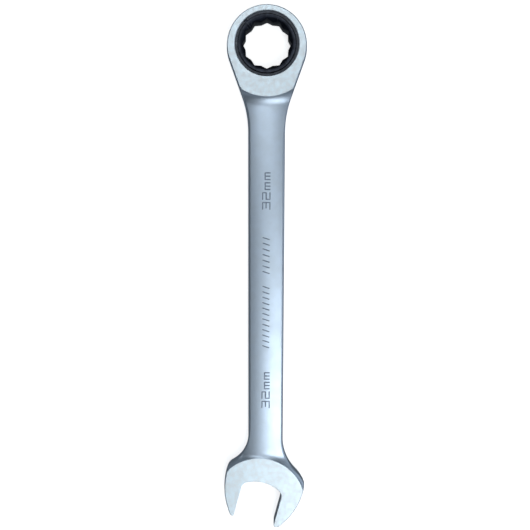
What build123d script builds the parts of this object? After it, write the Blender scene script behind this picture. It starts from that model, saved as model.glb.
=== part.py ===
from build123d import *
from math import cos, pi, radians, sin, sqrt, tan
import os

# Ratcheting combination wrench: open jaw at one end, one-way ratchet ring with a 12-point hole at the other.
# Millimetres and degrees. The origin is on the ring's axis at its lower face, +X runs along the shank to the
# open end, and +Z points out of the face that carries the retaining ring.

# Nut size and the play the two ends leave around it
nut_size = 32.0
socket_play = 0.15
jaw_play = 0.2

# Ring head
ring_thickness = 16.0
ring_wall = 4.9  # housing outside the gear's bore, at the far end of the head
ring_offset = 1.45  # the head is thicker towards the shank, so its outline sits this far along +X
neck_angle = 19.9  # each side of the neck to the shank's axis
neck_radius = 78.0
ring_pad_margin = 5.6  # the flat ground face ends towards the shank in an arc this much larger than the head
ring_pad_centre = 3.2
ring_pad_blend = 7.0

# Shank
centre_distance = 332.6  # ring axis to the point where the jaw's centre line crosses the shank's
shank_width_ring = 28.4
shank_width_jaw = 26.8
shank_thickness = 10.4
shank_edge = 2.4
pad_sink = 0.1  # the heads' hollow blends run this far into the plate

# Open head
jaw_angle = 15.0
open_thickness = 13.0
jaw_side_radius = 52.0
jaw_wall = 15.3  # metal beside the jaw's gap where the head is widest
jaw_side_u = 3.0  # where the head is widest, along the jaw's own centre line
crown_margin = 8.6  # the back of the head is an arc this much larger than the head's half width
crown_u = -17.0  # back of the head, along the jaw's centre line
outline_shift = 0.5  # the head's outline is this far to the right of the jaw's centre line
shoulder_radius = 9.0
heel_radius_left = 24.0
heel_radius_right = 36.0
open_pad_margin = 4.5  # the flat ground face is an arc this much larger than the head's half width
open_pad_u = -14.7  # back of the flat face, along the jaw's centre line
open_pad_blend = 8.0
throat_u = 4.2
throat_margin = 11.9  # the throat is an arc this much larger than half the gap
throat_corner = 6.0
mouth_u = 34.0  # the walls open out from here to the tips
mouth_radius = 12.0
tip_u = 36.3
tip_radius = 4.0

# Gear
tooth_count = 72
gear_wall = 4.338  # from the corners of the hole to the roots of the teeth
tooth_depth = 1.0
drive_flank = 17.0  # flank angles to the radius
back_flank = 48.0
hub_step = 1.1  # the hubs at the gear's ends are this far inside the roots of the teeth
hub_recess = 0.3  # each end of the gear lies this far inside the housing's face
lead_in_width = 0.74  # the cone at each mouth of the hole reaches this far outside its corners
star_round = 0.35

# Housing of the gear
bore_play = 0.15
hub_play = 0.15
end_play = 0.1
lip_thickness = 2.2
bore_chamfer = 0.4

# Retaining ring
snap_thickness = 1.2
snap_cover = 1.1  # housing left above the groove
snap_bite = 0.75  # how far the ring reaches into the housing's wall
snap_groove_play = 0.1
snap_gap = 2.8
snap_gap_angle = 224.0  # from +X towards +Y

# Pawl, plunger and spring
pawl_teeth = 7
pawl_cover = 1.0  # the gear's teeth reach this far past the pawl at the top and bottom
pawl_depth = 7.2  # from the gear's tips to the pawl's flat back
pawl_play = 0.1
mesh_play = 0.1
flank_play = 0.06
pawl_clear = 0.15  # how far the pawl's teeth lift past the gear's tips
pocket_spare = 0.35
plunger_radius = 2.1
plunger_length = 5.0
plunger_wall = 0.45
plunger_floor = 1.0
plunger_seat = 1.0
plunger_play = 0.1
spring_hole_depth = 11.0
spring_wire = 0.5
spring_play = 0.2
spring_turns = 9

# Worked out from the sizes above
middle = ring_thickness / 2
half_gap = (nut_size + jaw_play) / 2
jaw_half_width = half_gap + jaw_wall
crown_radius = jaw_half_width + crown_margin
open_pad_radius = jaw_half_width + open_pad_margin
throat_radius = half_gap + throat_margin
star_corner = (nut_size + socket_play) / 2 / cos(radians(30))
lead_in_radius = star_corner + lead_in_width
gear_root_radius = star_corner + gear_wall
gear_tip_radius = gear_root_radius + tooth_depth
hub_radius = gear_root_radius - hub_step
bore_radius = gear_tip_radius + bore_play
ring_radius = bore_radius + ring_wall + ring_offset
lip_radius = hub_radius + hub_play
band_bottom = lip_thickness + end_play
groove_top = ring_thickness - snap_cover
groove_bottom = groove_top - snap_thickness - snap_groove_play
band_top = groove_bottom - end_play
groove_radius = bore_radius + snap_bite + snap_groove_play
pawl_height = 2 * (min(middle - band_bottom, band_top - middle) - pawl_cover)
pawl_travel = tooth_depth + pawl_clear
pawl_back = gear_tip_radius + pawl_depth
pawl_width = pawl_teeth * 2 * pi * gear_tip_radius / tooth_count
pocket_back = pawl_back + pawl_travel + pocket_spare
plunger_front = pawl_back - plunger_seat
spring_front = plunger_front + plunger_floor
spring_back = pocket_back + spring_hole_depth
spring_radius = plunger_radius - plunger_wall - spring_play - spring_wire / 2
spring_hole_radius = plunger_radius + plunger_play
jaw_frame = Pos(centre_distance, 0) * Rot(0, 0, -jaw_angle)


def ring_outline():
    """Round head with two straight sides that run down the neck."""
    side = radians(neck_angle)
    touch = (ring_offset + ring_radius * sin(side), ring_radius * cos(side))
    half = shank_width_ring / 2
    foot = (touch[0] + (touch[1] - half) / tan(side), half)
    below = [(x, -y) for x, y in (foot, touch)]
    head = Pos(ring_offset, 0) * Circle(ring_radius)
    return head + make_face(Polyline(touch, foot, *below, close=True)), foot[0]


def jaw_outline():
    """Open head before its jaw is cut, in the jaw's frame: a round back and two rounder sides."""
    offset = jaw_side_radius - jaw_half_width
    sides = [Pos(jaw_side_u, s * offset) * Circle(jaw_side_radius) for s in (1, -1)]
    crown = Pos(crown_u + crown_radius, 0) * Circle(crown_radius)
    front = Pos(tip_u / 2 + jaw_side_u / 2, 0) * Rectangle(tip_u - jaw_side_u, 2 * jaw_side_radius)
    head = (sides[0] & sides[1]) & (crown + front)
    head &= Pos(tip_u - jaw_side_radius, 0) * Rectangle(2 * jaw_side_radius, 2 * jaw_side_radius)
    shoulders = [v for v in head.vertices() if v.X < jaw_side_u]
    head = fillet(shoulders, shoulder_radius)
    tips = [v for v in head.vertices() if v.X > tip_u - 0.1]
    return fillet(tips, tip_radius)


def jaw_gap():
    """Space between the jaw's walls, in the jaw's frame: straight walls, a round throat and an opened mouth."""
    length = 2 * jaw_side_radius
    slot = Pos(throat_u + length / 2, 0) * Rectangle(length, 2 * half_gap)
    slot &= Pos(throat_u + throat_radius, 0) * Circle(throat_radius) + Pos(
        throat_u + throat_radius + length / 2, 0
    ) * Rectangle(length, 2 * throat_radius)
    corners = [v for v in slot.vertices() if v.X < throat_u + throat_radius / 2]
    slot = fillet(corners, throat_corner)
    for side in (1, -1):
        mouth = Pos(mouth_u + mouth_radius, side * half_gap) * Rectangle(2 * mouth_radius, mouth_radius)
        slot += mouth - Pos(mouth_u, side * (half_gap + mouth_radius)) * Circle(mouth_radius)
    return slot


def plan_outline():
    """Outer plan of the forging, without the jaw's gap."""
    ring, neck_x = ring_outline()
    half_ring, half_jaw = shank_width_ring / 2, shank_width_jaw / 2
    shank = make_face(
        Polyline(
            (neck_x, half_ring),
            (centre_distance, half_jaw),
            (centre_distance, -half_jaw),
            (neck_x, -half_ring),
            close=True,
        )
    )
    plan = ring + shank + jaw_frame * Pos(0, outline_shift) * jaw_outline()
    necks = [v for v in plan.vertices() if abs(v.X - neck_x) < 1 and abs(v.Y) < half_ring + 1]
    plan = fillet(necks, neck_radius)
    heel_x = centre_distance + crown_u
    heels = [v for v in plan.vertices() if abs(v.X - heel_x) < crown_radius / 4 and abs(v.Y) < half_jaw + 0.5]
    for v in sorted(heels, key=lambda v: v.Y):
        near = [w for w in plan.vertices() if (w.center() - v.center()).length < 0.01]
        plan = fillet(near, heel_radius_left if v.Y < 0 else heel_radius_right)
    return plan


def ground_pad(radius, thickness, blend):
    """Pad of a head's thickness about the middle plane: round, with a hollow blend down into the plate."""
    half, low = thickness / 2, shank_thickness / 2 - pad_sink
    step = half - low
    run = sqrt(2 * blend * step - step**2)
    top = Line((0, half), (radius, half))
    hollow = RadiusArc((radius, half), (radius + run, low), -blend)
    rest = Polyline((radius + run, low), (radius + run, -low))
    under = RadiusArc((radius + run, -low), (radius, -half), -blend)
    close = Polyline((radius, -half), (0, -half), (0, half))
    profile = make_face([*top.edges(), *hollow.edges(), *rest.edges(), *under.edges(), *close.edges()])
    return revolve(Plane.XZ * profile, Axis.Z)


def forging():
    """Solid forging about the middle plane: thin plate with rounded edges, and a thicker pad at each head."""
    plan = plan_outline()
    plate = extrude(plan, shank_thickness / 2, both=True)
    rims = plate.faces().sort_by(Axis.Z)[0].edges() + plate.faces().sort_by(Axis.Z)[-1].edges()
    plate = fillet(rims, shank_edge)
    ring_pad = Pos(ring_pad_centre, 0, 0) * ground_pad(
        ring_radius + ring_pad_margin, ring_thickness, ring_pad_blend
    )
    ring_pad += Pos(ring_pad_centre - ring_radius, 0, 0) * Box(2 * ring_radius, 3 * ring_radius, ring_thickness)
    open_pad = jaw_frame * Pos(open_pad_u + open_pad_radius, outline_shift, 0) * ground_pad(
        open_pad_radius, open_thickness, open_pad_blend
    )
    walls = extrude(plan, ring_thickness, both=True)
    body = plate + (ring_pad & walls) + (open_pad & walls)
    return body - extrude(jaw_frame * jaw_gap(), ring_thickness, both=True)


def cylinder_between(radius, low, high):
    """Upright cylinder on the ring's axis from one height to another."""
    return Pos(0, 0, low) * extrude(Circle(radius), high - low)


def tube_along_x(radius, start, end):
    """Cylinder along +X at mid-thickness."""
    return Pos(start, 0, middle) * Rot(0, 90, 0) * extrude(Circle(radius), end - start)


def wrench_body():
    """Forging with the gear's bore, rear lip, retaining groove, pawl pocket and spring hole."""
    body = Pos(0, 0, middle) * forging()
    body -= cylinder_between(bore_radius, lip_thickness, ring_thickness + 1)
    body -= cylinder_between(lip_radius, -1, ring_thickness)
    body -= cylinder_between(groove_radius, groove_bottom, groove_top)
    body -= Pos(0, 0, ring_thickness - bore_chamfer) * extrude(
        Circle(bore_radius), bore_chamfer, taper=-45
    )
    pocket_height = pawl_height + 2 * pawl_play
    pocket = Pos(pocket_back / 2, 0) * Rectangle(pocket_back, pawl_width + 2 * pawl_play)
    body -= Pos(0, 0, middle) * extrude(pocket, pocket_height / 2, both=True)
    body -= tube_along_x(spring_hole_radius, pocket_back - 1, spring_back)
    return body


def tooth_outline(tip, root, spread):
    """Closed saw-tooth outline: the flank that faces counter-clockwise is the steep one that carries the load."""
    pitch = 360 / tooth_count
    mean = (gear_tip_radius + gear_root_radius) / 2
    rise = tooth_depth * tan(radians(back_flank)) / mean * 180 / pi
    fall = tooth_depth * tan(radians(drive_flank)) / mean * 180 / pi
    widen = spread / mean * 180 / pi
    land = (pitch - rise - fall) / 2
    points = []
    for tooth in range(tooth_count):
        start = tooth * pitch
        corners = (
            (root, start - widen),
            (tip, start + rise - widen),
            (tip, start + rise + land + widen),
            (root, start + rise + land + fall + widen),
        )
        points += [(r * cos(radians(a)), r * sin(radians(a))) for r, a in corners]
    return make_face(Polyline(*points, close=True))


def star_outline():
    """12-point hole: two hexagons of the nut's size, a twelfth of a turn apart, with eased corners."""
    star = RegularPolygon(star_corner, 6) + Rot(0, 0, 30) * RegularPolygon(star_corner, 6)
    return fillet(star.vertices(), star_round)


def ratchet_gear():
    """Ring gear with a hub at each end, a 12-point hole and a cone at each mouth of it."""
    low, high = hub_recess, ring_thickness - hub_recess
    gear = cylinder_between(hub_radius, low, high)
    gear += Pos(0, 0, band_bottom) * extrude(
        tooth_outline(gear_tip_radius, gear_root_radius, 0), band_top - band_bottom
    )
    gear -= Pos(0, 0, low - 1) * extrude(star_outline(), high - low + 2)
    depth = lead_in_radius - nut_size / 2
    for face, turn in ((low, 180), (high, 0)):
        cone = extrude(Circle(lead_in_radius), depth, taper=45)
        gear -= Pos(0, 0, face) * Rot(180 + turn, 0, 0) * cone
    return gear


def snap_ring():
    """Flat open ring that lies in the housing's groove over the gear's teeth."""
    inner = hub_radius + hub_play + end_play
    ring = Circle(bore_radius + snap_bite) - Circle(inner)
    gap = Rot(0, 0, snap_gap_angle) * Pos(bore_radius, 0) * Rectangle(bore_radius, snap_gap)
    bottom = groove_bottom + snap_groove_play / 2
    return Pos(0, 0, bottom) * extrude(ring - gap, snap_thickness)


def pawl():
    """Toothed slide in mesh with the gear, with a seat in its back for the plunger."""
    half = pawl_width / 2
    block = Pos(pawl_back / 2, 0) * Rectangle(pawl_back, 2 * half)
    teeth = tooth_outline(gear_tip_radius + mesh_play, gear_root_radius + mesh_play, flank_play)
    slide = Pos(0, 0, middle) * extrude(block - teeth, pawl_height / 2, both=True)
    return slide - tube_along_x(spring_hole_radius, plunger_front, pawl_back + 1)


def spring_plunger():
    """Cup that guides the spring's front end and bears on the pawl."""
    cup = tube_along_x(plunger_radius, plunger_front, plunger_front + plunger_length)
    return cup - tube_along_x(
        plunger_radius - plunger_wall, spring_front, plunger_front + plunger_length + 1
    )


def pawl_spring():
    """Coil spring from the plunger's floor to the bottom of its hole."""
    radius = spring_wire / 2
    length = spring_back - spring_front - spring_wire
    helix = Helix(length / spring_turns, length, spring_radius)
    wire = sweep(Plane(helix @ 0, z_dir=helix % 0) * Circle(radius), helix, is_frenet=True)
    return Pos(spring_front + radius, 0, middle) * Rot(0, 90, 0) * wire


os.makedirs("parts", exist_ok=True)
for piece in (wrench_body, ratchet_gear, snap_ring, pawl, spring_plunger, pawl_spring):
    solid = piece()
    solid.label = piece.__name__
    export_step(solid, f"parts/{piece.__name__}.step")
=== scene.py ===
"""Visual model of a 32 mm ratcheting combination wrench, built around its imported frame.

The frame's nodes stay where they are. The forging, gear, retaining ring and spring get finer meshes that
stand for their nodes, and the pawl and its plunger keep their own. Sizes are millimetres, in the row frame:
origin on the ring's axis at its lower face, +X to the open end, +Z out of the face with the retaining ring.
"""

import logging
import math
from dataclasses import dataclass, field
from enum import Enum

import bmesh
import bpy
import numpy as np
from bpy.types import Material, Mesh, Node, NodeSocket, NodeTree, Object
from mathutils import Matrix, Vector
from mathutils.geometry import delaunay_2d_cdt

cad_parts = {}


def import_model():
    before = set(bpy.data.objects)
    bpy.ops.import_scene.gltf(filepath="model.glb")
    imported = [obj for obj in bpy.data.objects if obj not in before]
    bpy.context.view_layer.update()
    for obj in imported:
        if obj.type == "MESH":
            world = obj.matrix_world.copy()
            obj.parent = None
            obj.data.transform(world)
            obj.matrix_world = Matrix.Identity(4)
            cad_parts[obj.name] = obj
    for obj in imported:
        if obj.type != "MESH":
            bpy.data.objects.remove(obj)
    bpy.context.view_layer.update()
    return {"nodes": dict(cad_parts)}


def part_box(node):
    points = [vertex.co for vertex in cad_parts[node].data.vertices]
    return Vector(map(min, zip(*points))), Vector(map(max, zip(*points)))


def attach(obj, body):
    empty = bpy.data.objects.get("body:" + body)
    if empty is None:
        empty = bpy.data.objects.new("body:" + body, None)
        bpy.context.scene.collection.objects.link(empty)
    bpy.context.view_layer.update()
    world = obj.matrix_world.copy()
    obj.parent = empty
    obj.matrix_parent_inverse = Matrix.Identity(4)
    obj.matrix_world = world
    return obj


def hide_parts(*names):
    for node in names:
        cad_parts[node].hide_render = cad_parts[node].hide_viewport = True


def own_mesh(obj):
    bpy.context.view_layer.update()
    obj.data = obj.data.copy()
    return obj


LOG = logging.getLogger("wrench")
MM = 0.001
SHARP_ANGLE = math.radians(32)
Point = tuple[float, float]
Array = np.ndarray


class Zone(Enum):
    """Material zones of the forging, in the order of its material slots."""

    SATIN = 0
    GROUND = 1
    MACHINED = 2
    # The stamped marks' sunken faces, which get a darker finish as painted shade.
    STAMPED = 3


# ---- finishes


def fill_inputs(tree: NodeTree, node: Node, inputs: dict) -> None:
    """Sets each named input of a node to its value, or links it to its socket."""
    for name, value in inputs.items():
        if isinstance(value, NodeSocket):
            tree.links.new(value, node.inputs[name])
        else:
            node.inputs[name].default_value = value


def add_node(tree: NodeTree, kind: str, inputs: dict, **settings) -> Node:
    """Adds a node to a tree.

    Args:
        tree: the tree.
        kind: kind of node, without Blender's prefix.
        inputs: a value or a socket for each named input.
        settings: properties of the node, set before its inputs.

    Returns:
        The node.
    """
    node = tree.nodes.new("ShaderNode" + kind)
    for name, value in settings.items():
        setattr(node, name, value)
    fill_inputs(tree, node, inputs)
    return node


def spread(tree: NodeTree, value: NodeSocket, span: Point, to: Point) -> NodeSocket:
    """Maps a value from one span to another, and holds it at the ends."""
    inputs = {"Value": value, "From Min": span[0], "From Max": span[1], "To Min": to[0], "To Max": to[1]}
    return add_node(tree, "MapRange", inputs).outputs["Result"]


def mixed(tree: NodeTree, share: NodeSocket, first, second) -> NodeSocket:
    """Mixes two colours, each a value or a socket, by a share."""
    inputs = {"Factor": share, "A": first, "B": second}
    return add_node(tree, "Mix", inputs, data_type="RGBA").outputs["Result"]


@dataclass(frozen=True)
class Metal:
    """A bare or plated metal finish, made with procedural nodes.

    Args:
        name: name of the Blender material.
        colour: base colour, linear RGB.
        tint: second base colour that the slow mottle mixes in.
        roughness: lowest and highest roughness over the mottle.
        grain: size of the fine grain, in millimetres.
        relief: depth of the fine grain's bump, in millimetres.
        stretch: how much longer the grain is along X, as after polishing along the shank.
        mottle: size of the slow colour mottle, in millimetres.
        worn: how much lighter the worn edges are, from 0 to 1.
    """

    name: str
    colour: tuple[float, float, float]
    tint: tuple[float, float, float]
    roughness: tuple[float, float]
    grain: float
    relief: float
    stretch: float = 1.0
    mottle: float = 6.0
    worn: float = 0.15

    # Spans of the mottle that change the colour and the roughness, and of the pointedness of a worn edge.
    PATCHES, ROUGH_PATCHES, WORN_EDGES = (0.35, 0.65), (0.3, 0.7), (0.53, 0.60)
    POLISHED = (0.95, 0.96, 0.97, 1.0)

    def material(self) -> Material:
        """Builds the material, or returns the one already built."""
        known = bpy.data.materials.get(self.name)
        if known:
            return known
        made = bpy.data.materials.new(self.name)
        made.use_nodes = True
        tree = made.node_tree
        place = tree.nodes.new("ShaderNodeTexCoord").outputs["Object"]
        mottle = self._noise(tree, place, self.mottle, stretch=1.0, detail=3.0)
        grain = self._noise(tree, place, self.grain, stretch=self.stretch, detail=2.0)
        bump = {"Strength": 1.0, "Distance": self.relief * MM, "Height": grain}
        shader = {
            "Metallic": 1.0,
            "Specular IOR Level": 0.5,
            "Base Color": self._colour(tree, mottle),
            "Roughness": spread(tree, mottle, self.ROUGH_PATCHES, self.roughness),
            "Normal": add_node(tree, "Bump", bump).outputs["Normal"],
        }
        fill_inputs(tree, tree.nodes["Principled BSDF"], shader)
        return made

    def _noise(self, tree, place, size: float, stretch: float, detail: float) -> NodeSocket:
        """Adds a noise in object space.

        Args:
            tree: the material's node tree.
            place: socket with the place to sample.
            size: size of a cell across the grain, in millimetres.
            stretch: how much longer a cell is along X.
            detail: octaves of the noise.

        Returns:
            The noise's value socket.
        """
        scale = 1.0 / (size * MM)
        mapping = add_node(tree, "Mapping", {"Scale": (scale / stretch, scale, scale), "Vector": place})
        noise = {"Scale": 1.0, "Detail": detail, "Vector": mapping.outputs["Vector"]}
        return add_node(tree, "TexNoise", noise).outputs["Fac"]

    def _colour(self, tree, mottle) -> NodeSocket:
        """Mixes the two colours over the mottle, and lightens the edges that hands and nuts polish."""
        patches = spread(tree, mottle, self.PATCHES, (0.0, 1.0))
        metal = mixed(tree, patches, (*self.colour, 1.0), (*self.tint, 1.0))
        pointed = tree.nodes.new("ShaderNodeNewGeometry").outputs["Pointiness"]
        return mixed(tree, spread(tree, pointed, self.WORN_EDGES, (0.0, self.worn)), metal, self.POLISHED)


SATIN_CHROME = Metal(
    "chrome_satin", (0.59, 0.68, 0.79), (0.56, 0.64, 0.73), (0.37, 0.42), 0.25, 0.004, 3.0, 9.0
)
GROUND_CHROME = Metal(
    "chrome_ground", (0.72, 0.82, 0.88), (0.72, 0.77, 0.80), (0.42, 0.50), 0.35, 0.010, 1.0, 3.2
)
# Darker finish for the sunken faces of the stamped marks: painted shade in their recesses.
STAMPED_SHADE_CHROME = Metal(
    "chrome_stamped_shade", (0.30, 0.35, 0.43), (0.24, 0.28, 0.35), (0.45, 0.55), 0.25, 0.004, 1.0, 3.0, 0.0
)
MACHINED_CHROME = Metal(
    "chrome_machined", (0.62, 0.67, 0.73), (0.55, 0.60, 0.66), (0.26, 0.34), 0.30, 0.006, 1.0, 4.0
)
BLACK_OXIDE = Metal(
    "oxide_gear", (0.021, 0.025, 0.037), (0.013, 0.015, 0.023), (0.34, 0.46), 0.30, 0.006, 1.0, 3.0, 0.05
)
BLACK_SPRING_STEEL = Metal(
    "oxide_ring", (0.018, 0.021, 0.029), (0.013, 0.015, 0.020), (0.28, 0.40), 0.25, 0.004, 1.0, 3.0, 0.05
)
HARDENED_STEEL = Metal(
    "steel_hardened", (0.34, 0.34, 0.35), (0.28, 0.27, 0.26), (0.30, 0.42), 0.20, 0.005, 1.0, 2.0
)
SPRING_WIRE = Metal(
    "wire_bright", (0.50, 0.50, 0.52), (0.42, 0.42, 0.44), (0.22, 0.30), 0.10, 0.002, 1.0, 1.0
)


# ---- plan geometry


@dataclass(frozen=True)
class Straight:
    """Straight stretch of an outline, through a point in a direction.

    Args:
        point: a point on it.
        heading: direction of travel, in radians.
    """

    point: Point
    heading: float

    def shifted(self, left: float) -> "Straight":
        """The same stretch moved to its left."""
        x, y = self.point
        return Straight((x - left * math.sin(self.heading), y + left * math.cos(self.heading)), self.heading)

    def placed(self, turn: float, x: float, y: float) -> "Straight":
        """The same stretch turned about the origin and moved."""
        return Straight(turned(self.point, turn, x, y), self.heading + turn)


@dataclass(frozen=True)
class Bend:
    """Round stretch of an outline.

    Args:
        centre: its centre.
        radius: its radius.
        way: 1 where it turns left, so that the metal bulges, and -1 where it turns right.
    """

    centre: Point
    radius: float
    way: int = 1

    def shifted(self, left: float) -> "Bend":
        """The same stretch moved to its left."""
        return Bend(self.centre, self.radius - self.way * left, self.way)

    def placed(self, turn: float, x: float, y: float) -> "Bend":
        """The same stretch turned about the origin and moved."""
        return Bend(turned(self.centre, turn, x, y), self.radius, self.way)


Stretch = Straight | Bend


def turned(point: Point, turn: float, x: float, y: float) -> Point:
    """A point turned about the origin by an angle in radians, then moved by x and y."""
    c, s = math.cos(turn), math.sin(turn)
    return (point[0] * c - point[1] * s + x, point[0] * s + point[1] * c + y)


def crossings(a: Stretch, b: Stretch) -> list[Point]:
    """Points where two stretches, drawn out in full, cross.

    Args:
        a: one stretch.
        b: the other.

    Returns:
        None, one or two points.
    """
    if isinstance(a, Bend) and isinstance(b, Straight):
        a, b = b, a
    if isinstance(a, Straight) and isinstance(b, Straight):
        (px, py), (qx, qy) = a.point, b.point
        across = math.sin(b.heading - a.heading)
        t = ((qx - px) * math.sin(b.heading) - (qy - py) * math.cos(b.heading)) / across
        return [(px + t * math.cos(a.heading), py + t * math.sin(a.heading))]
    if isinstance(a, Straight):
        dx, dy = math.cos(a.heading), math.sin(a.heading)
        wx, wy = b.centre[0] - a.point[0], b.centre[1] - a.point[1]
        along, off = wx * dx + wy * dy, wx * dy - wy * dx
        reach = math.sqrt(max(b.radius**2 - off**2, 0.0))
        return [(a.point[0] + t * dx, a.point[1] + t * dy) for t in (along - reach, along + reach)]
    wx, wy = b.centre[0] - a.centre[0], b.centre[1] - a.centre[1]
    gap = math.hypot(wx, wy)
    along = (gap**2 + a.radius**2 - b.radius**2) / (2 * gap)
    off = math.sqrt(max(a.radius**2 - along**2, 0.0))
    ux, uy = wx / gap, wy / gap
    return [
        (a.centre[0] + along * ux - s * off * uy, a.centre[1] + along * uy + s * off * ux) for s in (-1, 1)
    ]


def heading_at(stretch: Stretch, point: Point) -> float:
    """Direction of travel of a stretch at one of its points, in radians."""
    if isinstance(stretch, Straight):
        return stretch.heading
    spoke = math.atan2(point[1] - stretch.centre[1], point[0] - stretch.centre[0])
    return spoke + stretch.way * math.pi / 2


def corner_bend(a: Stretch, b: Stretch, radius: float, way: int) -> Bend:
    """Round corner between two stretches that cross.

    Args:
        a: the stretch before the corner.
        b: the stretch after it.
        radius: radius of the corner.
        way: 1 for a bulging corner, -1 for a hollow one.

    Returns:
        The bend that touches both, where the travel turns from one to the other.
    """
    corner = next(
        p for p in crossings(a, b) if way * math.sin(heading_at(b, p) - heading_at(a, p)) > 0
    )
    centres = crossings(a.shifted(way * radius), b.shifted(way * radius))
    return Bend(min(centres, key=lambda centre: math.dist(centre, corner)), radius, way)


def touch(a: Stretch, b: Stretch) -> Point:
    """Point where two stretches touch.

    Args:
        a: one stretch.
        b: the other, tangent to the first.

    Returns:
        The common point.
    """
    if isinstance(b, Straight):
        a, b = b, a
    if isinstance(a, Straight):
        wx, wy = b.centre[0] - a.point[0], b.centre[1] - a.point[1]
        along = wx * math.cos(a.heading) + wy * math.sin(a.heading)
        return (a.point[0] + along * math.cos(a.heading), a.point[1] + along * math.sin(a.heading))
    big, small = (a, b) if a.radius >= b.radius else (b, a)
    wx, wy = small.centre[0] - big.centre[0], small.centre[1] - big.centre[1]
    reach = big.radius / math.hypot(wx, wy)
    return (big.centre[0] + wx * reach, big.centre[1] + wy * reach)


@dataclass(frozen=True)
class Rim:
    """How the forging's side meets its faces along a stretch.

    Args:
        draft: slope of the side, in degrees.
        edge: radius between the side and the face.
    """

    draft: float
    edge: float


@dataclass
class Outline:
    """Closed outline of tangent stretches, travelled with the metal on the left.

    Args:
        step: longest distance between two samples; in a bend also at most BEND_STEP, in radians.
        stretches: the stretches in order.
        rims: the rim of each stretch.
    """

    step: float
    stretches: list[Stretch] = field(default_factory=list)
    rims: list[Rim] = field(default_factory=list)

    BEND_STEP = 0.14

    def add(self, stretch: Stretch, rim: Rim, corner: float = 0.0, way: int = 1) -> None:
        """Adds a stretch, with a round corner before it if one is asked for.

        Args:
            stretch: the stretch.
            rim: its rim.
            corner: radius of the corner before it, or 0 where it touches the last one.
            way: 1 for a bulging corner, -1 for a hollow one.
        """
        if corner:
            self.stretches.append(corner_bend(self.stretches[-1], stretch, corner, way))
            self.rims.append(rim)
        self.stretches.append(stretch)
        self.rims.append(rim)

    def samples(self) -> tuple[Array, Array, Array, Array]:
        """Samples the outline.

        Returns:
            Places, directions into the metal, drafts in radians and edge radii, one row per sample.
        """
        places, inward, drafts, edges = [], [], [], []
        count = len(self.stretches)
        joints = [touch(self.stretches[i - 1], self.stretches[i]) for i in range(count)]
        for i, stretch in enumerate(self.stretches):
            start, end = joints[i], joints[(i + 1) % count]
            points, normals = self._stretch_samples(stretch, start, end)
            places += points
            inward += normals
            drafts += [math.radians(self.rims[i].draft)] * len(points)
            edges += [self.rims[i].edge] * len(points)
        smooth = [self._blurred(np.array(values)) for values in (drafts, edges)]
        return np.array(places), np.array(inward), smooth[0], smooth[1]

    def _stretch_samples(self, stretch: Stretch, start: Point, end: Point) -> tuple[list, list]:
        """Samples one stretch from its start up to, but without, its end."""
        if isinstance(stretch, Straight):
            count = max(2, math.ceil(math.dist(start, end) / self.step))
            normal = (-math.sin(stretch.heading), math.cos(stretch.heading))
            shares = [k / count for k in range(count)]
            line = [tuple(a + (b - a) * t for a, b in zip(start, end)) for t in shares]
            return line, [normal] * count
        cx, cy = stretch.centre
        first = math.atan2(start[1] - cy, start[0] - cx)
        sweep = (stretch.way * (math.atan2(end[1] - cy, end[0] - cx) - first)) % (2 * math.pi)
        step = min(self.step, self.BEND_STEP * stretch.radius)
        count = max(2, math.ceil(sweep * stretch.radius / step))
        angles = [first + stretch.way * sweep * k / count for k in range(count)]
        out = [(math.cos(t), math.sin(t)) for t in angles]
        points = [(cx + stretch.radius * c, cy + stretch.radius * s) for c, s in out]
        return points, [(-stretch.way * c, -stretch.way * s) for c, s in out]

    @staticmethod
    def _blurred(values: Array, reach: int = 4) -> Array:
        """Running mean of a closed row of values."""
        return sum(np.roll(values, k) for k in range(-reach, reach + 1)) / (2 * reach + 1)


# ---- mesh tools


def new_object(name: str, data: bpy.types.ID) -> Object:
    """Puts a mesh, a light or a camera in the scene under a name."""
    made = bpy.data.objects.new(name, data)
    bpy.context.scene.collection.objects.link(made)
    return made


def mesh_from(name: str, points: Array, faces: list) -> Mesh:
    """Makes a mesh, in metres, from points in millimetres and the vertex numbers of each face."""
    mesh = bpy.data.meshes.new(name)
    mesh.from_pydata((np.asarray(points, float) * MM).tolist(), [], faces)
    mesh.validate()
    return mesh


def smooth_with_sharp_edges(mesh: Mesh) -> None:
    """Shades a mesh smooth and keeps its sharp edges."""
    mesh.shade_smooth()
    mesh.set_sharp_from_angle(angle=SHARP_ANGLE)


def outward(mesh: Mesh) -> None:
    """Drops the loose points of a closed mesh and turns every face outwards."""
    work = bmesh.new()
    work.from_mesh(mesh)
    bmesh.ops.delete(work, geom=[v for v in work.verts if not v.link_faces], context="VERTS")
    bmesh.ops.recalc_face_normals(work, faces=work.faces)
    work.to_mesh(mesh)
    work.free()


def solid(name: str, points: Array, faces: list) -> Object:
    """Closed object from points in millimetres, with its faces turned outwards."""
    mesh = mesh_from(name, points, faces)
    outward(mesh)
    return new_object(name, mesh)


def finished(name: str, points: Array, faces: list, finish: Metal) -> Object:
    """Closed object from points in millimetres, in its finish."""
    piece = solid(name, points, faces)
    piece.data.materials.append(finish.material())
    smooth_with_sharp_edges(piece.data)
    return piece


def tube_faces(rows: int, columns: int, closed: bool = False) -> list[tuple]:
    """Quads of rows of vertices, each row a closed ring, stored row by row.

    Args:
        rows: number of rows.
        columns: number of vertices in a row.
        closed: whether the last row joins the first.

    Returns:
        The quads.
    """
    faces = []
    for i in range(rows if closed else rows - 1):
        for j in range(columns):
            k, m = (i + 1) % rows, (j + 1) % columns
            faces.append((i * columns + j, i * columns + m, k * columns + m, k * columns + j))
    return faces


def capped_faces(rows: int, columns: int) -> list[tuple]:
    """Faces of a tube of rows of vertices, with a cap on its first and its last row."""
    first, last = range(columns), range((rows - 1) * columns, rows * columns)
    return tube_faces(rows, columns) + [tuple(first), tuple(last)]


def circle(count: int) -> list[Point]:
    """Points spread evenly round a circle with a radius of one."""
    return [(math.cos(t), math.sin(t)) for t in (2 * math.pi * k / count for k in range(count))]


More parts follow.
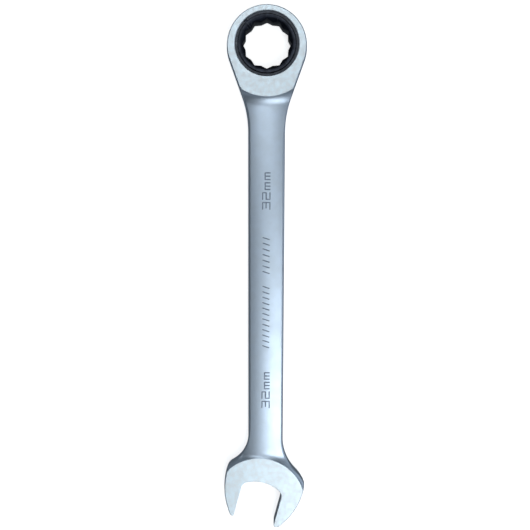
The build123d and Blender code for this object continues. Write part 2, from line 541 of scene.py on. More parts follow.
def combined(target: Object, tools: list[Object], operation: str) -> None:
    """Cuts closed tools out of a closed target, or adds them to it, and deletes the tools.

    Args:
        target: the object that changes.
        tools: closed objects.
        operation: DIFFERENCE or UNION.
    """
    for tool in tools:
        step = target.modifiers.new(tool.name, "BOOLEAN")
        step.operation, step.solver, step.object = operation, "MANIFOLD", tool
    graph = bpy.context.evaluated_depsgraph_get()
    result = bpy.data.meshes.new_from_object(target.evaluated_get(graph))
    target.modifiers.clear()
    old, target.data = target.data, result
    bpy.data.meshes.remove(old)
    for tool in tools:
        bpy.data.objects.remove(tool)


def lathe(name: str, profile: list[Point], columns: int) -> Object:
    """Closed solid turned about the ring's axis, from the radius and height of each corner."""
    points = [(r * c, r * s, z) for r, z in profile for c, s in circle(columns)]
    return solid(name, points, capped_faces(len(profile), columns))


def rod(name: str, radius: float, start: Vector, end: Vector, columns: int = 32) -> Object:
    """Closed round rod between two points, in millimetres."""
    turn = (end - start).normalized().to_track_quat("Z", "Y").to_matrix()
    ring = [turn @ (radius * Vector((c, s, 0))) for c, s in circle(columns)]
    return solid(name, [tuple(base + p) for base in (start, end) for p in ring], capped_faces(2, columns))


# ---- the forging


@dataclass
class Housing:
    """Machined space in the ring head for the gear, its retaining ring, the pawl and the pawl's spring.

    Args:
        top: height of the ring head's upper face.
        gear: lowest and highest corner of the gear.
        ring: lowest and highest corner of the retaining ring.
        pawl: lowest and highest corner of the pawl.
        plunger: lowest and highest corner of the plunger.
        spring: lowest and highest corner of the spring.
    """

    top: float
    gear: tuple[Vector, Vector]
    ring: tuple[Vector, Vector]
    pawl: tuple[Vector, Vector]
    plunger: tuple[Vector, Vector]
    spring: tuple[Vector, Vector]
    play: float = 0.1
    bore_play: float = 0.15
    bore_chamfer: float = 0.45
    lip_width: float = 2.1
    lip_thickness: float = 2.2
    lip_chamfer: float = 0.25
    pawl_travel: float = 1.15
    pocket_spare: float = 0.35

    OVERLAP = 1.0
    POCKET_REACH = 4.0
    BORE_COLUMNS = 240

    @property
    def bore_radius(self) -> float:
        """Radius of the gear's bore."""
        return self.gear[1].x + self.bore_play

    @property
    def groove_radius(self) -> float:
        """Radius of the retaining ring's groove."""
        return self.ring[1].x + self.play

    def tools(self) -> list[Object]:
        """Cutters for the bore with its rear lip and groove, the pawl's pocket and the spring's hole."""
        middle = (self.pawl[0].z + self.pawl[1].z) / 2
        pocket_back = self.pawl[1].x + self.pawl_travel + self.pocket_spare
        ends = [Vector((x, 0, middle)) for x in (pocket_back - self.OVERLAP, self.spring[1].x)]
        hole = rod("spring_hole", self.plunger[1].y + self.play, *ends)
        return [lathe("bore", self._bore_profile(), self.BORE_COLUMNS), self._pocket(pocket_back), hole]

    def _bore_profile(self) -> list[Point]:
        """Radius and height of each corner of the bore, from its lower mouth to its upper one."""
        over, bore, lip = self.OVERLAP, self.bore_radius, self.bore_radius - self.lip_width
        low, high = self.ring[0].z - self.play / 2, self.ring[1].z + self.play / 2
        return [
            (lip + self.lip_chamfer + over, -over),
            (lip, self.lip_chamfer),
            (lip, self.lip_thickness),
            (bore, self.lip_thickness),
            (bore, low),
            (self.groove_radius, low),
            (self.groove_radius, high),
            (bore, high),
            (bore, self.top - self.bore_chamfer),
            (bore + self.bore_chamfer + over, self.top + over),
        ]

    def _pocket(self, back: float) -> Object:
        """Box cutter for the pawl, open towards the bore."""
        (low, high), play = self.pawl, self.play
        corners = [
            (x, y, z)
            for x in (self.bore_radius - self.POCKET_REACH, back)
            for y in (low.y - play, high.y + play)
            for z in (low.z - play, high.z + play)
        ]
        sides = [(0, 1, 3, 2), (4, 6, 7, 5), (0, 4, 5, 1), (2, 3, 7, 6), (0, 2, 6, 4), (1, 5, 7, 3)]
        return solid("pocket", corners, sides)


@dataclass
class StampedMarks:
    """Marks pressed into the upper face of the shank: the nut size near each end, hatching between.

    Args:
        height: height of a figure, across the shank.
        width: width of a figure, as a share of the narrow figures drawn here.
        advance: distance from one figure to the next, as a share of the height.
        stroke: width of a stroke at the surface.
        floor: width of a stroke at its floor.
        depth: depth of a stroke.
        offset: distance of the marks' middle from the shank's axis, along Y.
        figures_x: middle of each size, along X.
        hatching: first stroke, last stroke and number of strokes of each group, along X.

    SLANT is half of a hatching stroke, in heights. A cutter stands ABOVE the face and has SIDES at each end.
    """

    height: float = 5.6
    width: float = 1.45
    advance: float = 1.34
    stroke: float = 0.9
    floor: float = 0.5
    depth: float = 0.32
    offset: float = -0.1
    figures_x: tuple[float, float] = (109.9, 263.6)
    hatching: tuple[tuple[float, float, int], ...] = ((146.0, 172.0, 7), (183.5, 229.5, 12))

    # Strokes of each figure in a box that is RIGHT wide and one high; SMALL is the height of a small letter.
    RIGHT, WAIST, BAR, SMALL = 0.62, 0.52, 0.12, 0.66
    STROKES = {
        "3": [[(0.0, 1.0), (RIGHT, 1.0), (RIGHT, 0.0), (0.0, 0.0)], [(RIGHT, WAIST), (BAR, WAIST)]],
        "2": [[(0.0, 1.0), (RIGHT, 1.0), (RIGHT, WAIST), (0.0, WAIST), (0.0, 0.0), (RIGHT, 0.0)]],
        "m": [
            [(0.0, 0.0), (0.0, SMALL), (RIGHT, SMALL), (RIGHT, 0.0)],
            [(RIGHT / 2, SMALL), (RIGHT / 2, 0.0)],
        ],
    }
    SIZE = "32mm"
    SLANT, ABOVE, SIDES = (0.14, 0.42), 0.4, 12

    def lines(self) -> list[list[Point]]:
        """All strokes in the row frame, read with the open end to the left and the ring to the right."""
        lines = []
        for middle in self.figures_x:
            for place, figure in enumerate(self.SIZE):
                along = (place - (len(self.SIZE) - 1) / 2) * self.advance - self.RIGHT / 2 * self.width
                for line in self.STROKES[figure]:
                    lines.append([self._placed(middle, x * self.width + along, y - 0.5) for x, y in line])
        along, up = self.SLANT
        for first, last, count in self.hatching:
            for x in np.linspace(first, last, count):
                lines.append([self._placed(float(x), s * along, s * up) for s in (-1, 1)])
        return lines

    def _placed(self, middle: float, x: float, y: float) -> Point:
        """Figure units to the row frame: text runs towards the ring, and its top is towards -Y."""
        return (middle - self.height * x, self.offset - self.height * y)

    def tools(self, surface: float) -> list[Object]:
        """Closed cutters, one for each straight piece of each stroke.

        Args:
            surface: height of the face under the marks.

        Returns:
            The cutters.
        """
        return [self._cutter(a, b, surface) for line in self.lines() for a, b in zip(line, line[1:])]

    def _cutter(self, a: Point, b: Point, surface: float) -> Object:
        """Convex cutter with sloping sides about one straight piece."""
        narrow = self.floor / 2
        wide = narrow + (self.stroke - self.floor) / 2 * (self.ABOVE + self.depth) / self.depth
        work = bmesh.new()
        for x, y in (a, b):
            for z, radius in ((surface - self.depth, narrow), (surface + self.ABOVE, wide)):
                for c, s in circle(self.SIDES):
                    work.verts.new(((x + radius * c) * MM, (y + radius * s) * MM, z * MM))
        bmesh.ops.convex_hull(work, input=work.verts)
        mesh = bpy.data.meshes.new("stroke")
        work.to_mesh(mesh)
        work.free()
        return new_object("stroke", mesh)


@dataclass
class Forging:
    """The one-piece body: ring head, neck, shank and open head, with its machined jaw and ring housing.

    The ring head's thickness and its housing come from the frame; the rest are the sizes of the shape.
    """

    low: Vector
    high: Vector
    housing: Housing
    ring_radius: float = 30.35
    ring_offset: float = 1.45
    neck_angle: float = 19.9
    neck_radius: float = 78.0
    ring_pad_radius: float = 36.0
    ring_pad_centre: float = 3.2
    ring_pad_blend: float = 10.0
    shank_half_ring: float = 14.2
    shank_half_jaw: float = 13.4
    shank_thickness: float = 10.4
    crown: float = 1.4
    jaw_x: float = 332.6
    jaw_angle: float = 15.0
    open_thickness: float = 13.0
    open_pad_radius: float = 35.9
    open_pad_centre: Point = (21.2, 0.5)
    open_pad_blend: float = 8.0
    half_gap: float = 16.1
    side_radius: float = 52.0
    side_reach: float = 31.35
    side_u: float = 3.0
    outline_shift: float = 0.5
    back_radius: float = 40.0
    back_u: float = -14.8
    apron: float = 2.2
    shoulder: float = 9.0
    heel_left: float = 24.0
    heel_right: float = 36.0
    throat_u: float = 4.2
    throat_radius: float = 28.0
    throat_corner: float = 6.0
    mouth_u: float = 34.0
    mouth_radius: float = 12.0
    tip_u: float = 36.25
    tip_radius: float = 4.0
    tip_ease: float = 1.15
    step: float = 1.0

    RING_RIM = Rim(3.2, 0.7)
    SHANK_RIM = Rim(2.0, 1.6)
    OPEN_RIM = Rim(4.0, 0.6)
    WALL_RIM = Rim(0.0, 0.2)
    TIP_RIM = Rim(1.5, 0.4)

    # Rows of the side: turns round the edge in degrees, and how far past it the height is read and held.
    EDGE_TURNS, PAST_EDGE, HOLD = (18, 36, 54, 72, 90), 0.5, 0.3
    # Points of the face: an even grid, and finer arcs along both hollow blends.
    GRID_STEP, GRID_HALF, CLEARED = 2.4, 33, (-1.4, 7.8)
    ARC_STEP, ARC_SWEEP, RIM_MARGIN = 0.8, 1.2, 0.25
    ARCS = (-1.2, -0.5, -0.25, 0.0, 0.2, 0.4, 0.65, 0.95, 1.4, 2.0, 2.7, 3.4, 4.2, 5.0, 5.8, 6.6, 7.6)
    # How far out the crown still falls, as a share of the shank's half, and how softly a flat face ends.
    CROWN_REACH, BLEND_EASE = 1.25, 0.25
    # Where the marks are, and how deep a face lies to be one of theirs.
    MARKS_X, MARKS_Y, MARKS_SUNK = (80.0, 300.0), 5.0, 0.06
    # How near a face lies to the surface that gives it its finish, and its normal's share along Z.
    NEAR, WALL_NEAR, THROAT_NEAR, JAW_NEAR = 0.02, 0.1, 0.5, 0.15
    LEVEL, STEEP = 0.9999, 0.5

    @property
    def middle(self) -> float:
        """Height of the middle plane."""
        return (self.low.z + self.high.z) / 2

    @property
    def half(self) -> float:
        """Half the thickness of the ring head."""
        return (self.high.z - self.low.z) / 2

    def outline(self) -> Outline:
        """Plan outline, from the ring head along the -Y side to the jaw and back along the +Y side."""
        made = Outline(self.step)
        slope = math.radians(self.neck_angle)
        ring = Bend((self.ring_offset, 0.0), self.ring_radius)
        foot = turned((0.0, self.ring_radius), -slope, self.ring_offset, 0.0)
        reach = self.jaw_x - foot[0]
        taper = math.atan2(self.shank_half_ring - self.shank_half_jaw, reach)
        jaw = self.jaw_outline()
        made.add(ring, self.RING_RIM)
        made.add(Straight((foot[0], -foot[1]), slope), self.RING_RIM)
        made.add(Straight((self.jaw_x, -self.shank_half_jaw), taper), self.SHANK_RIM, self.neck_radius, -1)
        made.add(jaw[0][0], jaw[0][1], self.heel_left, -1)
        for stretch, rim, corner, way in jaw[1:]:
            made.add(stretch, rim, corner, way)
        shank = Straight((self.jaw_x, self.shank_half_jaw), math.pi - taper)
        made.add(shank, self.SHANK_RIM, self.heel_right, -1)
        made.add(Straight(foot, math.pi - slope), self.RING_RIM, self.neck_radius, -1)
        return made

    def jaw_outline(self) -> list[tuple[Stretch, Rim, float, int]]:
        """Stretches of the open head in the row frame, each with its rim and the corner before it."""
        shift, offset = self.outline_shift, self.side_radius - self.side_reach
        back = Bend((self.back_u - self.apron + self.back_radius, shift), self.back_radius)
        throat = Bend((self.throat_u + self.throat_radius, 0.0), self.throat_radius, -1)
        flare = self.half_gap + self.mouth_radius
        tip = Straight((self.tip_u, 0.0), math.pi / 2)
        sides = [
            Bend((self.side_u, shift + offset), self.side_radius),
            Bend((self.side_u, shift - offset), self.side_radius),
        ]
        tips = [
            corner_bend(sides[0], tip, self.tip_radius, 1),
            corner_bend(tip, sides[1], self.tip_radius, 1),
        ]
        parts: list[tuple[Stretch, Rim, float, int]] = [
            (back, self.OPEN_RIM, 0.0, 1),
            (sides[0], self.OPEN_RIM, self.shoulder, 1),
            (tips[0], self.TIP_RIM, 0.0, 1),
            (Bend((self.mouth_u, -flare), self.mouth_radius), self.WALL_RIM, self.tip_ease, 1),
            (Straight((0.0, -self.half_gap), math.pi), self.WALL_RIM, 0.0, 1),
            (throat, self.WALL_RIM, self.throat_corner, -1),
            (Straight((0.0, self.half_gap), 0.0), self.WALL_RIM, self.throat_corner, -1),
            (Bend((self.mouth_u, flare), self.mouth_radius), self.WALL_RIM, 0.0, 1),
            (tips[1], self.TIP_RIM, self.tip_ease, 1),
            (sides[1], self.OPEN_RIM, 0.0, 1),
            (back, self.OPEN_RIM, self.shoulder, 1),
        ]
        turn = -math.radians(self.jaw_angle)
        return [(s.placed(turn, self.jaw_x, 0.0), rim, corner, way) for s, rim, corner, way in parts]

    def half_thickness(self, x: Array, y: Array) -> Array:
        """Half the thickness of the metal at points of the plan.

        Args:
            x: X of each point.
            y: Y of each point.

        Returns:
            One value per point.
        """
        across = np.clip(y / self.shank_half_ring, -self.CROWN_REACH, self.CROWN_REACH)
        plate = self.shank_thickness / 2 - self.crown * across**2
        ring_far = np.hypot(x - self.ring_pad_centre, y) - self.ring_pad_radius
        ring_far = np.where(x < self.ring_pad_centre, -1.0, ring_far)
        centre = turned(self.open_pad_centre, -math.radians(self.jaw_angle), self.jaw_x, 0.0)
        open_far = np.hypot(x - centre[0], y - centre[1]) - self.open_pad_radius
        ring = self._blend(ring_far, self.half, plate, self.ring_pad_blend)
        opened = self._blend(open_far, self.open_thickness / 2, plate, self.open_pad_blend)
        return np.where(x < self.jaw_x / 2, ring, opened)

    def _blend(self, far: Array, top: float, base: Array, radius: float) -> Array:
        """Flat face inside its border and a hollow round blend down to the base outside it."""
        drop = np.maximum(top - base, 1e-6)
        run = np.sqrt(2 * radius * drop - drop**2)
        left = np.clip(run - far, 0.0, radius)
        hollow = base + radius - np.sqrt(radius**2 - np.minimum(left, run) ** 2)
        ease = self.BLEND_EASE
        eased = (top + hollow) / 2 - np.sqrt(((top - hollow) / 2) ** 2 + (ease / 4) ** 2) + ease / 4
        return np.where(far <= -ease, top, np.minimum(np.where(far < 3 * ease, eased, hollow), top))

    def shell(self) -> Object:
        """Closed skin of the forging, before its housing is machined."""
        places, inward, drafts, edges = self.outline().samples()
        count = len(places)
        rows = self._side_rows(places, inward, drafts, edges)
        side = np.concatenate([rows[:0:-1] * (1, 1, -1), rows])
        points = [side.reshape(-1, 3)]
        faces = tube_faces(len(side), count)
        face_points, triangles, loop = self._face(rows[-1])
        start = side.shape[0] * count
        for sign, first in ((1, (side.shape[0] - 1) * count), (-1, 0)):
            numbers = np.arange(len(face_points)) + start
            numbers[loop] = np.arange(count) + first
            points.append(face_points * (1, 1, sign))
            faces += [tuple(int(numbers[k]) for k in face) for face in triangles]
            start += len(face_points)
        return solid("wrench_forging", np.concatenate(points) + (0, 0, self.middle), faces)

    def _side_rows(self, places, inward, drafts, edges) -> Array:
        """Rows of points from the middle plane up the side, round the edge and onto the face."""
        tall = self._height_at(places, inward, edges + self.PAST_EDGE)
        wall = (tall - edges) * np.tan(drafts)
        low = self._height_at(places, inward, wall) - edges
        rows = [(wall * share, low * share) for share in (0.0, 0.5, 1.0)]
        for turn in np.radians(self.EDGE_TURNS):
            inset = wall + edges * (1 - math.cos(turn))
            rows.append((inset, self._height_at(places, inward, inset) - edges * (1 - math.sin(turn))))
        hold = wall + edges + self.HOLD
        rows.append((hold, self._height_at(places, inward, hold)))
        return np.array([np.c_[places + inward * inset[:, None], z] for inset, z in rows])

    def _height_at(self, places, inward, inset) -> Array:
        """Height of the face at this inset from the outline."""
        spot = places + inward * inset[:, None]
        return self.half_thickness(spot[:, 0], spot[:, 1])

    def _face(self, rim: Array) -> tuple[Array, list, Array]:
        """Fills the upper face inside its rim.

        Args:
            rim: the last row of the side.

        Returns:
            Points, triangles, and the number of each rim point among the points.
        """
        inner = self._face_points(rim)
        flat = [Vector((x, y)) for x, y in rim[:, :2]] + [Vector((x, y)) for x, y in inner]
        count = len(rim)
        border = [(k, (k + 1) % count) for k in range(count)]
        inside_only, epsilon = 1, 1e-5
        verts, _, triangles, origins, _, _ = delaunay_2d_cdt(flat, border, [], inside_only, epsilon)
        points = np.array([(v.x, v.y, 0.0) for v in verts])
        points[:, 2] = self.half_thickness(points[:, 0], points[:, 1])
        loop = np.zeros(count, int)
        for number, sources in enumerate(origins):
            for source in sources:
                if source < count:
                    loop[source] = number
        return points, triangles, loop

    def _face_points(self, rim: Array) -> Array:
        """Points inside the face: an even grid, and arcs along both hollow blends."""
        columns = np.arange(rim[:, 0].min(), rim[:, 0].max(), self.GRID_STEP)
        lanes = np.arange(-self.GRID_HALF, self.GRID_HALF, self.GRID_STEP)
        grid = np.stack(np.meshgrid(columns, lanes), -1).reshape(-1, 2)
        turn = -math.radians(self.jaw_angle)
        centres = (
            (self.ring_pad_centre, 0.0, self.ring_pad_radius, 0.0),
            (*turned(self.open_pad_centre, turn, self.jaw_x, 0.0), self.open_pad_radius, math.pi + turn),
        )
        arcs = []
        for cx, cy, radius, heading in centres:
            far = np.hypot(grid[:, 0] - cx, grid[:, 1] - cy) - radius
            near = np.abs(far - sum(self.CLEARED) / 2) < (self.CLEARED[1] - self.CLEARED[0]) / 2
            facing = np.cos(np.arctan2(grid[:, 1] - cy, grid[:, 0] - cx) - heading) > 0.0
            grid = grid[~(near & facing)]
            count = int(2 * self.ARC_SWEEP * radius / self.ARC_STEP)
            sweep = np.linspace(-self.ARC_SWEEP, self.ARC_SWEEP, count) + heading
            for reach in (radius + far for far in self.ARCS):
                arcs.append(np.c_[cx + reach * np.cos(sweep), cy + reach * np.sin(sweep)])
        points = np.concatenate([grid, *arcs])
        return points[self._inside(points, rim[:, :2], self.RIM_MARGIN)]

    @staticmethod
    def _inside(points: Array, loop: Array, margin: float) -> Array:
        """Which points lie inside a closed loop, at least a margin away from its points."""
        x, y = points[:, 0], points[:, 1]
        inside = np.zeros(len(points), bool)
        nearest = np.full(len(points), np.inf)
        for (ax, ay), (bx, by) in zip(loop, np.roll(loop, -1, axis=0)):
            crosses = (ay > y) != (by > y)
            if ay != by:
                inside ^= crosses & (x < ax + (y - ay) / (by - ay) * (bx - ax))
            dx, dy = bx - ax, by - ay
            t = np.clip(((x - ax) * dx + (y - ay) * dy) / max(dx * dx + dy * dy, 1e-12), 0, 1)
            nearest = np.minimum(nearest, np.hypot(x - ax - t * dx, y - ay - t * dy))
        return inside & (nearest > margin)

    def zone(self, centre: Vector, normal: Vector) -> Zone:
        """Material zone of a face, from its centre in millimetres and its normal."""
        lift = centre.z - self.middle
        if abs(normal.z) > self.LEVEL and abs(lift) > self.open_thickness / 2 - self.NEAR:
            return Zone.GROUND
        if math.hypot(centre.x, centre.y) < self.housing.groove_radius + self.WALL_NEAR:
            return Zone.MACHINED
        # Faces sunk below the shank's surface in the marks get the darker finish: painted shade in the
        # recesses.
        if abs(centre.y) < self.MARKS_Y and self.MARKS_X[0] < centre.x < self.MARKS_X[1] and lift > 0.0:
            surface = self.half_thickness(np.array([centre.x]), np.array([centre.y]))[0]
            if surface - lift > self.MARKS_SUNK:
                return Zone.STAMPED
        u, v = turned((centre.x - self.jaw_x, centre.y), math.radians(self.jaw_angle), 0.0, 0.0)
        in_gap = u > self.throat_u - self.THROAT_NEAR and abs(v) < self.half_gap + self.JAW_NEAR
        return Zone.MACHINED if in_gap and abs(normal.z) < self.STEEP else Zone.SATIN

    def build(self, marks: StampedMarks) -> Object:
        """Builds and dresses the forging.

        Args:
            marks: the marks pressed into its shank.

        Returns:
            The finished piece.
        """
        body = self.shell()
        combined(body, self.housing.tools(), "DIFFERENCE")
        strokes = marks.tools(self.middle + self.shank_thickness / 2 - self.NEAR)
        combined(strokes[0], strokes[1:], "UNION")
        combined(body, [strokes[0]], "DIFFERENCE")
        mesh = body.data
        mesh.materials.clear()
        for finish in (SATIN_CHROME, GROUND_CHROME, MACHINED_CHROME, STAMPED_SHADE_CHROME):
            mesh.materials.append(finish.material())
        for face in mesh.polygons:
            face.material_index = self.zone(face.center / MM, face.normal).value
        smooth_with_sharp_edges(mesh)
        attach(body, "wrench")
        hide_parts("wrench_body")
        return body


# ---- the ratchet


@dataclass
class RatchetGear:
    """Ring gear with a hub at each end, outside saw teeth and the 12-point hole.

    Its tips and its two end heights come from the frame.
    """

    low: Vector
    high: Vector
    flats: float = 32.15
    corner_cap: float = 18.42
    lead_in: float = 19.3
    tooth_depth: float = 1.0
    hub_step: float = 1.1
    band: tuple[float, float] = (2.3, 13.5)
    teeth: int = 72
    drive_flank: float = 17.0
    back_flank: float = 48.0
    edge: float = 0.3
    rounded: float = 0.08
    columns: int = 1440

    @property
    def tip(self) -> float:
        """Radius of the teeth's tips."""
        return self.high.x

    @property
    def root(self) -> float:
        """Radius of the teeth's roots."""
        return self.tip - self.tooth_depth

    @property
    def hub(self) -> float:
        """Radius of the hubs."""
        return self.root - self.hub_step

    def hole_radius(self, angle: Array) -> Array:
        """Distance from the axis to the wall of the 12-point hole, at angles in radians."""
        sector = math.radians(60)
        reaches = [
            self.flats / 2 / np.cos((angle + start) % sector - sector / 2) for start in (0.0, sector / 2)
        ]
        return np.minimum(np.maximum(*reaches), self.corner_cap)

    def tooth_radius(self, angle: Array) -> Array:
        """Distance from the axis to the teeth, at angles in radians."""
        depth, mean = self.tip - self.root, (self.tip + self.root) / 2
        pitch = 2 * math.pi / self.teeth
        rise = depth * math.tan(math.radians(self.back_flank)) / mean
        fall = depth * math.tan(math.radians(self.drive_flank)) / mean
        land = (pitch - rise - fall) / 2
        corners = (0.0, rise, rise + land, rise + land + fall, pitch)
        return np.interp(angle % pitch, corners, (self.root, self.tip, self.tip, self.root, self.root))

    def build(self) -> Object:
        """Builds and dresses the gear."""
        angle = np.arange(self.columns) * 2 * math.pi / self.columns
        hole, tooth, one = self.hole_radius(angle), self.tooth_radius(angle), np.ones(self.columns)
        bottom, top = self.low.z, self.high.z
        first, last = self.band
        rounded = self.rounded
        upper = [
            (tooth, last * one),
            (self.hub * one, last * one),
            (self.hub * one, (top - self.edge) * one),
            ((self.hub - self.edge) * one, top * one),
            ((self.lead_in + rounded) * one, top * one),
            ((self.lead_in - rounded) * one, (top - rounded) * one),
            (hole + rounded, top - (self.lead_in - hole) + rounded),
            (hole, top - (self.lead_in - hole) - rounded),
        ]
        lower = [(radius, bottom + top - height) for radius, height in upper]
        lower[0], lower[1] = (tooth, first * one), (self.hub * one, first * one)
        rows = [*upper, *lower[::-1]]
        points = np.concatenate([np.c_[r * np.cos(angle), r * np.sin(angle), z] for r, z in rows])
        piece = finished("socket_gear", points, tube_faces(len(rows), self.columns, True), BLACK_OXIDE)
        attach(piece, "gear")
        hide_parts("ratchet_gear")
        return piece


@dataclass
class SnapRing:
    """Flat open retaining ring with broken edges. Its outer edge and heights come from the frame."""

    low: Vector
    high: Vector
    width: float = 2.75
    gap: float = 2.8
    gap_angle: float = 224.0
    edge: float = 0.18
    columns: int = 300

    def build(self) -> Object:
        """Builds and dresses the ring."""
        bottom, top, edge = self.low.z, self.high.z, self.edge
        outer, inner = self.high.x, self.high.x - self.width
        section = [
            (outer, bottom + edge),
            (outer, top - edge),
            (outer - edge, top),
            (inner + edge, top),
            (inner, top - edge),
            (inner, bottom + edge),
            (inner + edge, bottom),
            (outer - edge, bottom),
        ]
        middle = (inner + outer) / 2
        half = self.gap / 2 / middle
        start = math.radians(self.gap_angle) + half
        angles = np.linspace(start, start + 2 * (math.pi - half), self.columns)
        points = [(r * math.cos(t), r * math.sin(t), z) for t in angles for r, z in section]
        faces = capped_faces(self.columns, len(section))
        piece = finished("retaining_ring", points, faces, BLACK_SPRING_STEEL)
        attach(piece, "wrench")
        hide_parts("snap_ring")
        return piece


@dataclass
class PawlSpring:
    """Coil spring between the plunger and the bottom of its hole. Its box comes from the frame."""

    low: Vector
    high: Vector
    wire: float = 0.5
    turns: float = 9.0
    closed: float = 1.0
    travel: float = 1.15
    around: int = 10
    per_turn: int = 28

    def build(self) -> Object:
        """Builds and dresses the spring at one fixed length, though the real spring shortens towards its
        hole's bottom as the pawl lifts.
        """
        radius = self.wire / 2
        mean = (self.high.y - self.low.y) / 2 - radius
        length = self.high.x - self.low.x - self.wire
        centre = (self.low.z + self.high.z) / 2
        count = int(self.turns * self.per_turn) + 1
        points = []
        for k in range(count):
            share = k / (count - 1)
            turn = 2 * math.pi * self.turns * share
            x = self.low.x + radius + length * self._advance(share)
            radial = Vector((0, math.cos(turn), math.sin(turn)))
            middle = Vector((x, 0, centre)) + mean * radial
            for c, s in circle(self.around):
                points.append(tuple(middle + radius * (c * radial + Vector((s, 0, 0)))))
        piece = finished("return_spring", points, capped_faces(count, self.around), SPRING_WIRE)
        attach(piece, "wrench")
        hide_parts("pawl_spring")
        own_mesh(piece)
        return piece

    def _advance(self, share: float) -> float:
        """Share of the length reached, with the end turns wound close."""
        end = self.closed / self.turns
        close = self.wire / (self.high.x - self.low.x) * share * self.turns
        if share < end:
            return close
        if share > 1 - end:
            return 1 - self._advance(1 - share)
        reached = self.wire / (self.high.x - self.low.x) * self.closed
        return reached + (share - end) / (1 - 2 * end) * (1 - 2 * reached)


def dress_node(frame: dict, node: str, finish: Metal) -> Object:
    """Gives a node of the frame its finish.

    Args:
        frame: the loaded frame.
        node: the node's name.
        finish: its finish.

    Returns:
        The node's object.
    """
    piece = frame["nodes"][node]
    piece.data.materials.clear()
    piece.data.materials.append(finish.material())
    return piece


# ---- the studio


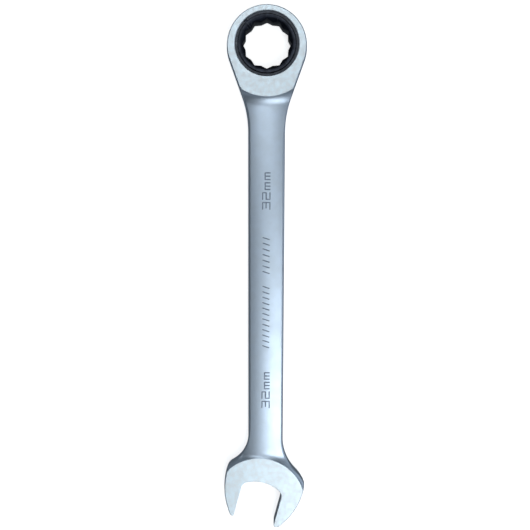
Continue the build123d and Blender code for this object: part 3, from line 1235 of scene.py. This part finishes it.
@dataclass
class Studio:
    """Pale floor, soft light and the camera over the wrench.

    Args:
        low: lowest corner of the object.
        high: highest corner of the object.
        distance: from the camera to the point it looks at.
        tilt: how far the camera leans from straight above, towards the open end's far side, in degrees.
        aim_x: X of the point it looks at.
        aim_y: Y of the point it looks at.
        roll: turn of the picture, in degrees.
        lens: focal length for a 36 mm sensor.
        floor_half: half the side of the floor.
        floor_gap: how far the floor lies under the wrench.
        floor_glow: how brightly the floor shines by itself.
        room: brightness of the room at each height, from 0 straight below to 1 straight above.
    """

    low: Vector
    high: Vector
    distance: float = 540.0
    tilt: float = 3.8
    aim_x: float = 166.6
    aim_y: float = -0.9
    roll: float = 0.2
    lens: float = 47.42
    floor_half: float = 4000.0
    floor_gap: float = 0.02
    floor_glow: float = 0.74
    room: tuple[Point, ...] = ((0.0, 0.15), (0.49, 0.15), (0.52, 0.50), (0.57, 0.40), (0.66, 0.08))

    LIT = (170, 0, 0)
    DAYLIGHT = (0.90, 0.96, 1.0)
    SKYLIGHT = (0.78, 0.88, 1.0)
    ROOM_COLOUR = (0.80, 0.90, 1.0)

    def camera(self) -> Object:
        """Makes the camera: it looks down with the ring end at the top of the picture."""
        data = bpy.data.cameras.new("camera")
        data.lens, data.sensor_width = self.lens, 36.0
        data.clip_start, data.clip_end = 0.01, 20.0
        made = new_object("camera", data)
        lean = math.radians(self.tilt)
        middle = (self.low.z + self.high.z) / 2
        back = Vector((-math.sin(lean), 0.0, math.cos(lean)))
        up = Vector((-math.cos(lean), 0.0, -math.sin(lean)))
        right = up.cross(back)
        turn = Matrix((right, up, back)).transposed() @ Matrix.Rotation(math.radians(self.roll), 3, "Z")
        aim = Vector((self.aim_x, self.aim_y, middle))
        made.matrix_world = Matrix.Translation((aim + back * self.distance) * MM) @ turn.to_4x4()
        bpy.context.scene.camera = made
        return made

    def floor(self) -> Object:
        """Makes the plain pale floor under the wrench."""
        half, z = self.floor_half, self.low.z - self.floor_gap
        corners = [
            (self.aim_x + x * half, y * half, z) for x, y in ((-1, -1), (1, -1), (1, 1), (-1, 1))
        ]
        made = new_object("floor", mesh_from("floor", corners, [(0, 1, 2, 3)]))
        pale = bpy.data.materials.new("pale_floor")
        pale.use_nodes = True
        shader = {
            "Base Color": (0.93, 0.93, 0.93, 1.0),
            "Roughness": 0.9,
            "Specular IOR Level": 0.1,
            "Emission Color": (1.0, 1.0, 1.0, 1.0),
            "Emission Strength": self.floor_glow,
        }
        fill_inputs(pale.node_tree, pale.node_tree.nodes["Principled BSDF"], shader)
        made.data.materials.append(pale)
        made.visible_glossy = False
        return made

    def lights(self) -> None:
        """Makes the soft lights."""
        self._panel("overhead", (200, 40, 1100), (1300, 640), 0.45, self.DAYLIGHT)
        self._panel("key", (720, 300, 1000), (880, 560), 3.0, self.DAYLIGHT)
        self._panel("ring_end", (-330, -40, 900), (450, 400), 2.4, self.DAYLIGHT)
        self._panel("right_side", (150, 1100, 450), (1300, 800), 0.55, self.SKYLIGHT)
        bpy.context.scene.view_settings.view_transform = "Standard"

    def surroundings(self) -> None:
        """Makes the room around the wrench: dim high up, and paler low down, where the low views look."""
        world = bpy.data.worlds.new("surroundings")
        world.use_nodes = True
        tree = world.node_tree
        way = tree.nodes.new("ShaderNodeTexCoord").outputs["Generated"]
        rise = add_node(tree, "SeparateXYZ", {"Vector": way}).outputs["Z"]
        ramp = add_node(tree, "ValToRGB", {"Fac": spread(tree, rise, (-1.0, 1.0), (0.0, 1.0))})
        stops = ramp.color_ramp.elements
        for number, (place, level) in enumerate(self.room):
            stop = stops[number] if number < len(stops) else stops.new(place)
            stop.position = place
            stop.color = (*(level * share for share in self.ROOM_COLOUR), 1.0)
        fill_inputs(tree, tree.nodes["Background"], {"Color": ramp.outputs["Color"]})
        bpy.context.scene.world = world

    @staticmethod
    def _panel(name: str, place: tuple, size: tuple, radiance: float, colour: tuple) -> None:
        """Makes one soft light that faces the middle of the wrench.

        Args:
            name: name of the light.
            place: where it stands, in millimetres.
            size: its two sides, the first along X, in millimetres.
            radiance: how bright its face is.
            colour: its colour.
        """
        data = bpy.data.lights.new(name, "AREA")
        data.shape, data.size, data.size_y = "RECTANGLE", size[0] * MM, size[1] * MM
        data.energy = radiance * math.pi * data.size * data.size_y
        data.color = colour
        made = new_object(name, data)
        back = (Vector(place) - Vector(Studio.LIT)).normalized()
        side = (Vector((1, 0, 0)) - back * back.x).normalized()
        turn = Matrix((side, back.cross(side), back)).transposed()
        made.matrix_world = Matrix.Translation(Vector(place) * MM) @ turn.to_4x4()


def box_of(node: str) -> tuple[Vector, Vector]:
    """Lowest and highest corner of a node, in millimetres."""
    low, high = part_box(node)
    return Vector(low) / MM, Vector(high) / MM


def main() -> None:
    """Builds every piece in order and reports it."""
    logging.basicConfig(level=logging.INFO, format="%(name)s: %(message)s")
    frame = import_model()
    body_low, body_high = box_of("wrench_body")
    studio = Studio(body_low, body_high)
    studio.camera()
    names = ("ratchet_gear", "snap_ring", "pawl", "spring_plunger", "pawl_spring")
    housing = Housing(body_high.z, *(box_of(name) for name in names))
    pieces = [
        Forging(body_low, body_high, housing).build(StampedMarks()),
        RatchetGear(*box_of("ratchet_gear")).build(),
        SnapRing(*box_of("snap_ring")).build(),
        PawlSpring(*box_of("pawl_spring")).build(),
        dress_node(frame, "pawl", HARDENED_STEEL),
        dress_node(frame, "spring_plunger", HARDENED_STEEL),
    ]
    for piece in pieces:
        LOG.info("%s: %d faces", piece.name, len(piece.data.polygons))
    studio.floor()
    studio.lights()
    studio.surroundings()


if __name__ == "__main__":
    main()
